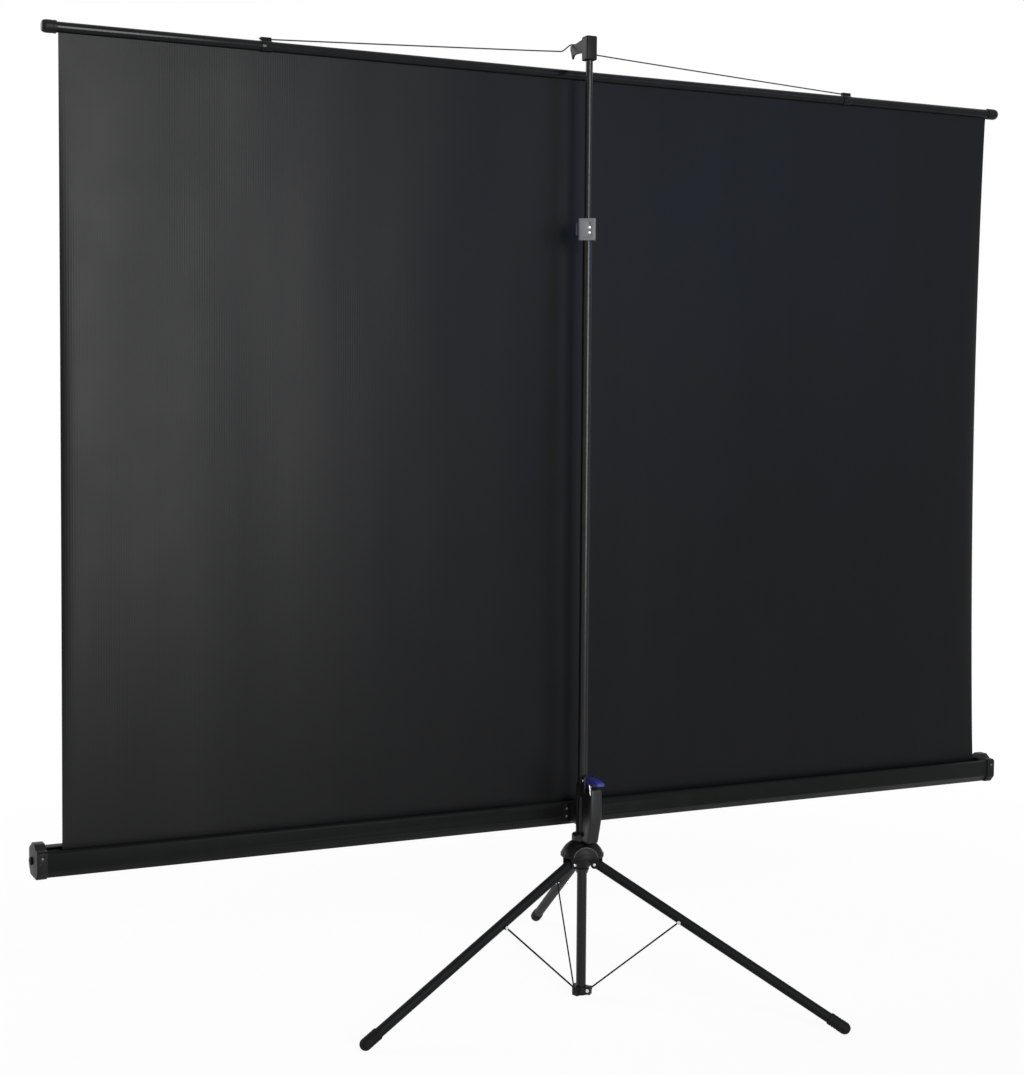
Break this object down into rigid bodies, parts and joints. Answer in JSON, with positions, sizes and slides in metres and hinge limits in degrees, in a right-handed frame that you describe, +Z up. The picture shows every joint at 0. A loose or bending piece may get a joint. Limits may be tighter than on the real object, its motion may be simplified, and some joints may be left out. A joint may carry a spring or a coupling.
{
  "type": "tripod projection screen",
  "caption": "Free-standing roll-up projection screen on a folding tripod, with a telescopic mast, a sliding roller case and a hooked top rail.",
  "frame": {"origin": "on the floor, on the mast's axis", "axes": "+X along the screen, to the right as seen from behind, +Y towards the watched side, +Z up"},
  "size_m": [2.0925, 0.8748, 1.8315],
  "materials": {
    "mast_paint": "satin black paint",
    "leg_paint": "satin black paint",
    "rail_paint": "semi-gloss black paint",
    "black_plastic": "moulded black",
    "grey_plastic": "moulded grey",
    "navy_plastic": "moulded blue",
    "bright_steel": "plated steel",
    "foot_rubber": "matt black rubber",
    "screen_cloth": "black backed, white in front",
    "roller_metal": "plain tube"
  },
  "bodies": {
    "mast": {"main_tube": "mast_paint", "base_collar": "black_plastic", "collar_rivets": "bright_steel", "hub_stop": "mast_paint", "lock_block": "grey_plastic", "lock_rivets": "bright_steel", "guide_bush": "black_plastic", "screen_fabric": "screen_cloth"},
    "lock_button": {"lock_button": "navy_plastic"},
    "extension": {"extension_tube": "mast_paint", "extension_shoe": "black_plastic", "head_hook": "black_plastic", "top_rail": "rail_paint", "rail_cap_left": "black_plastic", "rail_cap_right": "black_plastic", "hem_rod": "roller_metal", "bail_clips": "rail_paint"},
    "bail": {"bail_wire": "bright_steel"},
    "leg_hub": {"leg_hub": "black_plastic", "leg_pivot_pins": "bright_steel"},
    "carriage": {"carriage_body": "black_plastic", "lever_pin": "bright_steel", "lever_stop_pin": "bright_steel", "case_bracket": "rail_paint", "bracket_screws": "bright_steel", "pivot_bolt": "bright_steel", "case_shell": "rail_paint", "case_cap_left": "black_plastic", "case_cap_right": "black_plastic", "cap_screws": "bright_steel", "axle_cover": "black_plastic", "axle_pins": "bright_steel"},
    "roller": {"roller_tube": "roller_metal", "roller_plugs": "black_plastic", "fabric_roll": "screen_cloth"},
    "clamp_lever": {"clamp_lever": "navy_plastic"},
    "leg_left": {"leg_left": "leg_paint", "foot_left": "foot_rubber", "stay_rivet_left": "bright_steel"},
    "stay_left": {"stay_left": "leg_paint"},
    "leg_right": {"leg_right": "leg_paint", "foot_right": "foot_rubber", "stay_rivet_right": "bright_steel"},
    "stay_right": {"stay_right": "leg_paint"},
    "leg_front": {"leg_front": "leg_paint", "foot_front": "foot_rubber", "stay_rivet_front": "bright_steel"},
    "stay_front": {"stay_front": "leg_paint"}
  },
  "joints": [
    {"name": "mast_extension", "type": "slide", "parent": "mast", "child": "extension", "axis": [0, 0, 1], "range_m": [-0.29, 0], "deforming": ["screen_fabric"]},
    {"name": "leg_fold", "type": "slide", "parent": "mast", "child": "leg_hub", "axis": [0, 0, 1], "range_m": [0, 0.1802], "deforming": ["screen_fabric"]},
    {"name": "case_height", "type": "slide", "parent": "leg_hub", "child": "carriage", "axis": [0, 0, 1], "range_m": [0, 0.7], "deforming": ["screen_fabric"]},
    {"name": "roller_spin", "type": "hinge", "parent": "carriage", "child": "roller", "pos_m": [0.01, 0.0805, 0.349], "axis": [1, 0, 0], "range_deg": [0, 2400]},
    {"name": "lever_lift", "type": "hinge", "parent": "carriage", "child": "clamp_lever", "pos_m": [0, -0.02, 0.4238], "axis": [-1, 0, 0], "range_deg": [0, 25], "stiffness_Nm_per_rad": 0.5},
    {"name": "bail_swing", "type": "hinge", "parent": "extension", "child": "bail", "pos_m": [0.01, 0.062, 1.7827], "axis": [-1, 0, 0], "range_deg": [0, 85]},
    {"name": "button_press", "type": "slide", "parent": "mast", "child": "lock_button", "axis": [0.8704, -0.4924, 0], "range_m": [0, 0.002], "stiffness_N_per_m": 600},
    {"name": "leg_left_swing", "type": "hinge", "parent": "leg_hub", "child": "leg_left", "pos_m": [-0.02837, -0.00603, 0.2615], "axis": [0.2079, -0.9781, 0], "range_deg": [0, 63]},
    {"name": "stay_left_swing", "type": "hinge", "parent": "leg_left", "child": "stay_left", "pos_m": [-0.19108, -0.04062, 0.16878], "axis": [0.2079, -0.9781, 0], "range_deg": [-110, 0]},
    {"name": "leg_right_swing", "type": "hinge", "parent": "leg_hub", "child": "leg_right", "pos_m": [0.0194, -0.02155, 0.2615], "axis": [0.7431, 0.6691, 0], "range_deg": [0, 63]},
    {"name": "stay_right_swing", "type": "hinge", "parent": "leg_right", "child": "stay_right", "pos_m": [0.13071, -0.14517, 0.16878], "axis": [0.7431, 0.6691, 0], "range_deg": [-110, 0]},
    {"name": "leg_front_swing", "type": "hinge", "parent": "leg_hub", "child": "leg_front", "pos_m": [0.00896, 0.02758, 0.2615], "axis": [-0.9511, 0.309, 0], "range_deg": [0, 63]},
    {"name": "stay_front_swing", "type": "hinge", "parent": "leg_front", "child": "stay_front", "pos_m": [0.06037, 0.18579, 0.16878], "axis": [-0.9511, 0.309, 0], "range_deg": [-110, 0]}
  ],
  "couplings": [
    {"joint": "roller_spin", "follows": "case_height", "rad_per_m": 55.556},
    {"joint": "leg_left_swing", "follows": "leg_fold", "rad_per_m": 6.0147},
    {"joint": "stay_left_swing", "follows": "leg_fold", "rad_per_m": -10.535},
    {"joint": "leg_right_swing", "follows": "leg_fold", "rad_per_m": 6.0147},
    {"joint": "stay_right_swing", "follows": "leg_fold", "rad_per_m": -10.535},
    {"joint": "leg_front_swing", "follows": "leg_fold", "rad_per_m": 6.0147},
    {"joint": "stay_front_swing", "follows": "leg_fold", "rad_per_m": -10.535}
  ]
}
